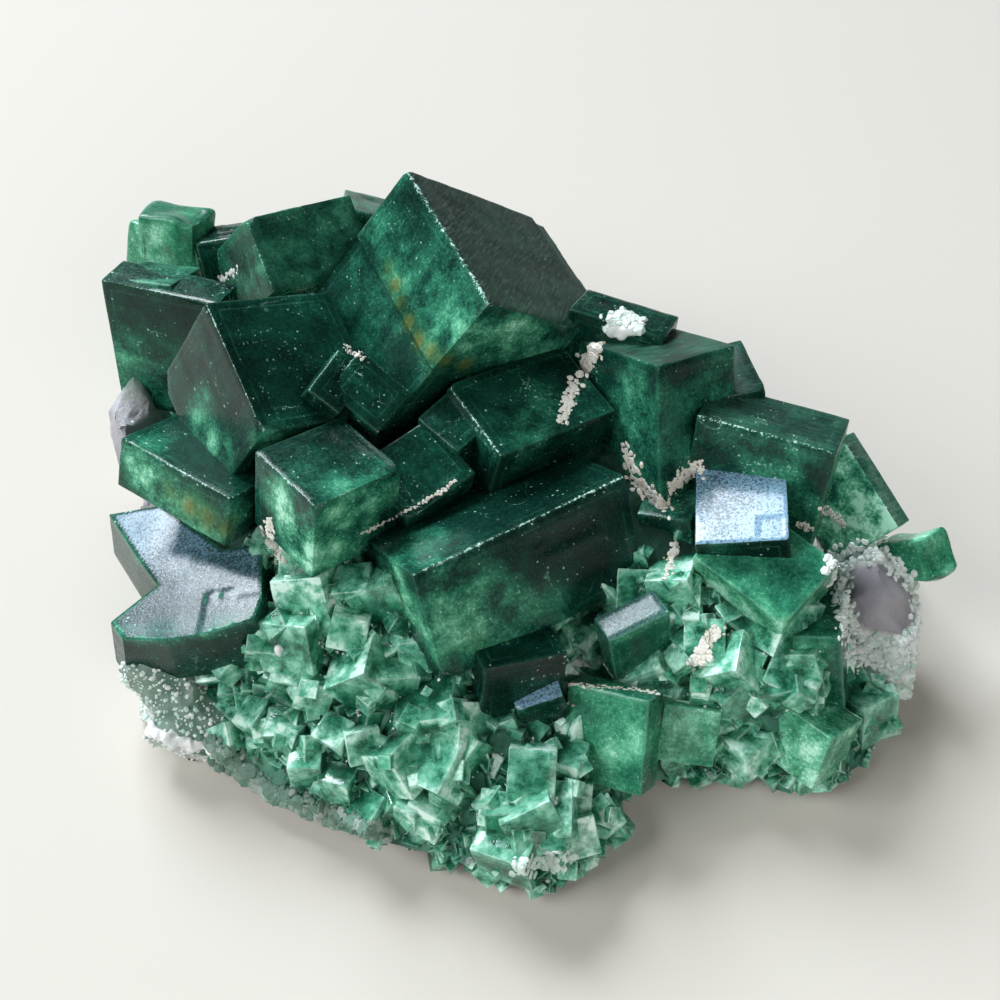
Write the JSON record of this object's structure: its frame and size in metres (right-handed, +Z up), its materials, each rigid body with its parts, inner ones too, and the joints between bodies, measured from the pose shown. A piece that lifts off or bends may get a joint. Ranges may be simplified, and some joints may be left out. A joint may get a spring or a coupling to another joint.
{
  "type": "fluorite crystal cluster",
  "caption": "Cluster of dark green intergrown fluorite cubes over a crust of small pale cubes, on a low quartz rock with a flat underside.",
  "frame": {"origin": "on the ground, under the middle of the specimen's bounding box", "axes": "+Z up, +X to the right along the longest side, +Y from the crust of small cubes in front to the tall crystals behind"},
  "size_m": [0.0982, 0.0846, 0.04],
  "materials": {
    "fluorite": "clear to cloudy dark green, glossy faces with chipped edges",
    "quartz": "broken, white to grey, partly dusted with pale green fluorite"
  },
  "bodies": {
    "root": {"fluorite_crystals": "fluorite", "quartz_matrix": "quartz"}
  },
  "joints": []
}
